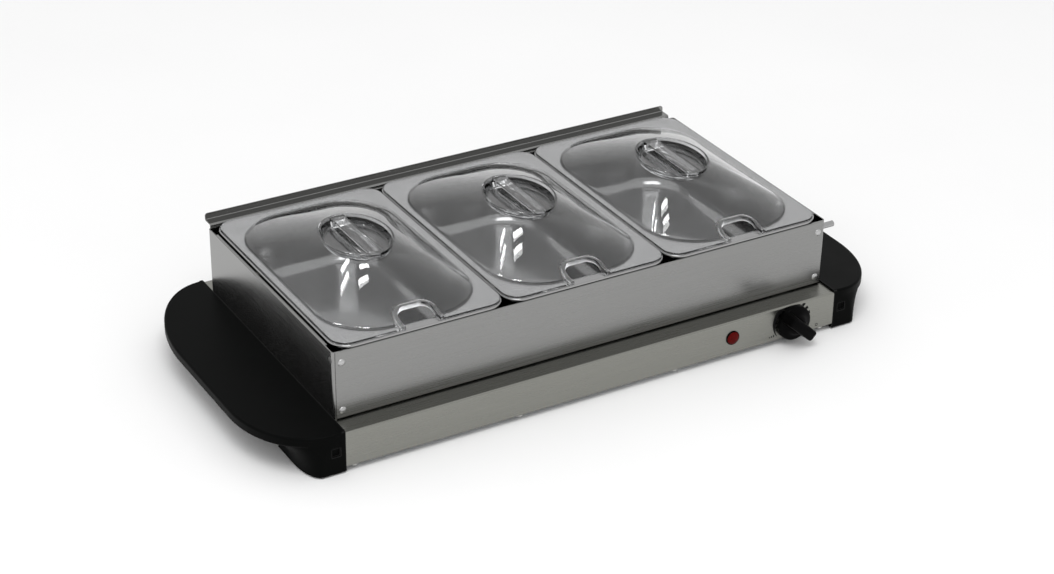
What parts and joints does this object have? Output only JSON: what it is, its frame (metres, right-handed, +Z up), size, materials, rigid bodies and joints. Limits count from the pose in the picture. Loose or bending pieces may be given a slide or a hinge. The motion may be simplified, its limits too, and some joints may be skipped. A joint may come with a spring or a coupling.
{
  "type": "electric buffet server",
  "caption": "Table-top food warmer: a low steel heating base with wing handles and a dial, a lift-off frame, and rim-hung steel pans under clear lids.",
  "frame": {"origin": "on the table, under the centre of the whole server's bounding box", "axes": "+X along the long side, to the right as the user faces the dial; +Y to the rear; +Z up; the dial is on the -Y face"},
  "size_m": [0.636, 0.3224, 0.1355],
  "materials": {
    "fascia_steel": "satin stainless sheet, grain along the long side",
    "frame_steel": "brushed stainless sheet, grain along each panel",
    "pan_steel": "pressed stainless, smooth satin rim and brighter bowl",
    "clear_lid_plastic": "clear moulded plastic, polished",
    "black_handle_plastic": "black moulded plastic, fine texture",
    "knob_plastic": "black moulded plastic, half gloss",
    "lamp_lens": "dark red translucent lens",
    "foot_rubber": "matt black rubber",
    "zinc_screws": "bright zinc plate",
    "rivet_aluminium": "satin rivet heads",
    "rod_steel": "drawn steel rod",
    "galvanised_steel": "galvanised sheet, faint spangle",
    "spreader_aluminium": "rolled sheet",
    "element_sheath": "heat-tinted sheath",
    "switch_plastic": "dark moulded switch and inlet bodies",
    "contact_brass": "bare contacts",
    "live_insulation": "brown wire insulation",
    "neutral_insulation": "blue wire insulation",
    "earth_insulation": "green and yellow wire insulation",
    "lamp_insulation": "pale wire insulation"
  },
  "bodies": {
    "base": {"base_housing": "fascia_steel", "bottom_cover": "galvanised_steel", "left_handle": "black_handle_plastic", "right_handle": "black_handle_plastic", "rubber_feet": "foot_rubber", "handle_screws": "zinc_screws", "cover_screws": "zinc_screws", "heat_spreader": "spreader_aluminium", "heating_element": "element_sheath", "element_clips": "galvanised_steel", "clip_screws": "zinc_screws", "heat_shield": "galvanised_steel", "thermal_fuse": "element_sheath", "fuse_clip": "galvanised_steel", "thermostat_body": "switch_plastic", "thermostat_screws": "zinc_screws", "pilot_lamp_bezel": "knob_plastic", "pilot_lamp_lens": "lamp_lens", "pilot_lamp_body": "switch_plastic", "appliance_inlet": "switch_plastic", "inlet_pins": "contact_brass", "inlet_screws": "zinc_screws", "earth_screw": "contact_brass", "wire_live": "live_insulation", "wire_neutral": "neutral_insulation", "wire_to_fuse": "live_insulation", "wire_fuse_to_element": "live_insulation", "lamp_leads": "lamp_insulation", "wire_earth": "earth_insulation", "wire_terminals": "contact_brass"},
    "knob": {"control_knob": "knob_plastic", "thermostat_shaft": "rod_steel"},
    "pan_frame": {"frame_front_panel": "frame_steel", "frame_rear_panel": "frame_steel", "frame_left_panel": "frame_steel", "frame_right_panel": "frame_steel", "frame_rivets": "rivet_aluminium", "lid_rest_rail": "frame_steel", "stiffener_rod": "rod_steel"},
    "pan_left_body": {"pan_left": "pan_steel"},
    "lid_left_body": {"lid_left": "clear_lid_plastic"},
    "pan_middle_body": {"pan_middle": "pan_steel"},
    "lid_middle_body": {"lid_middle": "clear_lid_plastic"},
    "pan_right_body": {"pan_right": "pan_steel"},
    "lid_right_body": {"lid_right": "clear_lid_plastic"}
  },
  "joints": [
    {"name": "knob_turn", "type": "hinge", "parent": "base", "child": "knob", "pos_m": [0.203, -0.14125, 0.022], "axis": [0, 1, 0], "range_deg": [0, 306]},
    {"name": "frame_lift", "type": "slide", "parent": "base", "child": "pan_frame", "axis": [0, 0, 1], "range_m": [0, 0.09]},
    {"name": "pan_left_lift", "type": "slide", "parent": "pan_frame", "child": "pan_left_body", "axis": [0, 0, 1], "range_m": [0, 0.09]},
    {"name": "lid_left_lift", "type": "slide", "parent": "pan_left_body", "child": "lid_left_body", "axis": [0, 0, 1], "range_m": [0, 0.07]},
    {"name": "pan_middle_lift", "type": "slide", "parent": "pan_frame", "child": "pan_middle_body", "axis": [0, 0, 1], "range_m": [0, 0.09]},
    {"name": "lid_middle_lift", "type": "slide", "parent": "pan_middle_body", "child": "lid_middle_body", "axis": [0, 0, 1], "range_m": [0, 0.07]},
    {"name": "pan_right_lift", "type": "slide", "parent": "pan_frame", "child": "pan_right_body", "axis": [0, 0, 1], "range_m": [0, 0.09]},
    {"name": "lid_right_lift", "type": "slide", "parent": "pan_right_body", "child": "lid_right_body", "axis": [0, 0, 1], "range_m": [0, 0.07]}
  ]
}
